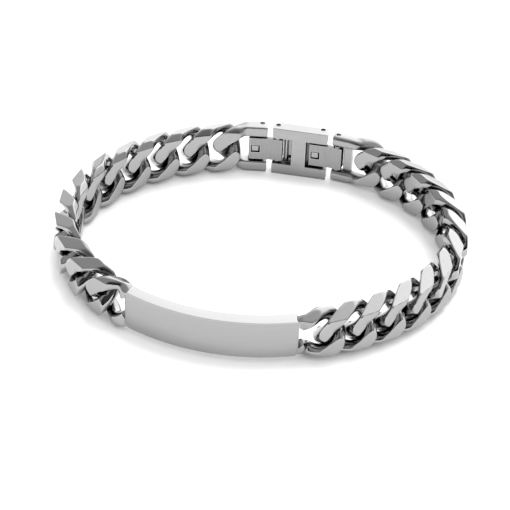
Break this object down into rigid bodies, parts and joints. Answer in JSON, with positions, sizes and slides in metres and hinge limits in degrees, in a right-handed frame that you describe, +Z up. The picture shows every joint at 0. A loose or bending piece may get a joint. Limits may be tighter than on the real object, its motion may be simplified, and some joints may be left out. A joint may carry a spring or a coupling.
{
  "type": "id bracelet",
  "caption": "Identity bracelet with a blank curved plate, a flat curb chain and a double fold-over clasp whose two hinged tongues snap over lugs, lying closed on its edge.",
  "frame": {"origin": "middle of the closed loop, on the surface that the bracelet's lower edge rests on", "axes": "+Z up across the band, the plate is at -Y in front, +X along the loop's long direction, to the right as seen by someone who faces the plate"},
  "size_m": [0.0842, 0.0637, 0.012],
  "materials": {
    "plate_steel": "polished stainless steel, fine grain on the face",
    "link_steel": "mirror polished stainless steel",
    "clasp_steel": "polished stainless steel",
    "tongue_steel": "satin stainless steel",
    "pin_steel": "plain stainless steel"
  },
  "bodies": {
    "bracelet": {"id_plate": "plate_steel", "link_right_1": "link_steel", "link_right_2": "link_steel", "link_right_3": "link_steel", "link_right_4": "link_steel", "link_right_5": "link_steel", "link_right_6": "link_steel", "link_right_7": "link_steel", "link_right_8": "link_steel", "link_right_9": "link_steel", "link_right_10": "link_steel", "link_right_11": "link_steel", "link_left_1": "link_steel", "link_left_2": "link_steel", "link_left_3": "link_steel", "link_left_4": "link_steel", "link_left_5": "link_steel", "link_left_6": "link_steel", "link_left_7": "link_steel", "link_left_8": "link_steel", "link_left_9": "link_steel", "link_left_10": "link_steel", "end_piece_right": "clasp_steel", "end_piece_left": "clasp_steel", "clasp_block": "clasp_steel", "hinge_pin_right": "pin_steel", "hinge_pin_left": "pin_steel", "stop_pin_right": "pin_steel", "stop_pin_left": "pin_steel"},
    "tongue_right": {"tongue_right": "tongue_steel"},
    "tongue_left": {"tongue_left": "tongue_steel"}
  },
  "joints": [
    {"name": "tongue_right_hinge", "type": "hinge", "parent": "bracelet", "child": "tongue_right", "pos_m": [0.01588, 0.02714, 0.006], "axis": [0, 0, 1], "range_deg": [0, 90]},
    {"name": "tongue_left_hinge", "type": "hinge", "parent": "bracelet", "child": "tongue_left", "pos_m": [0.00319, 0.02944, 0.006], "axis": [0, 0, 1], "range_deg": [0, 90]}
  ]
}
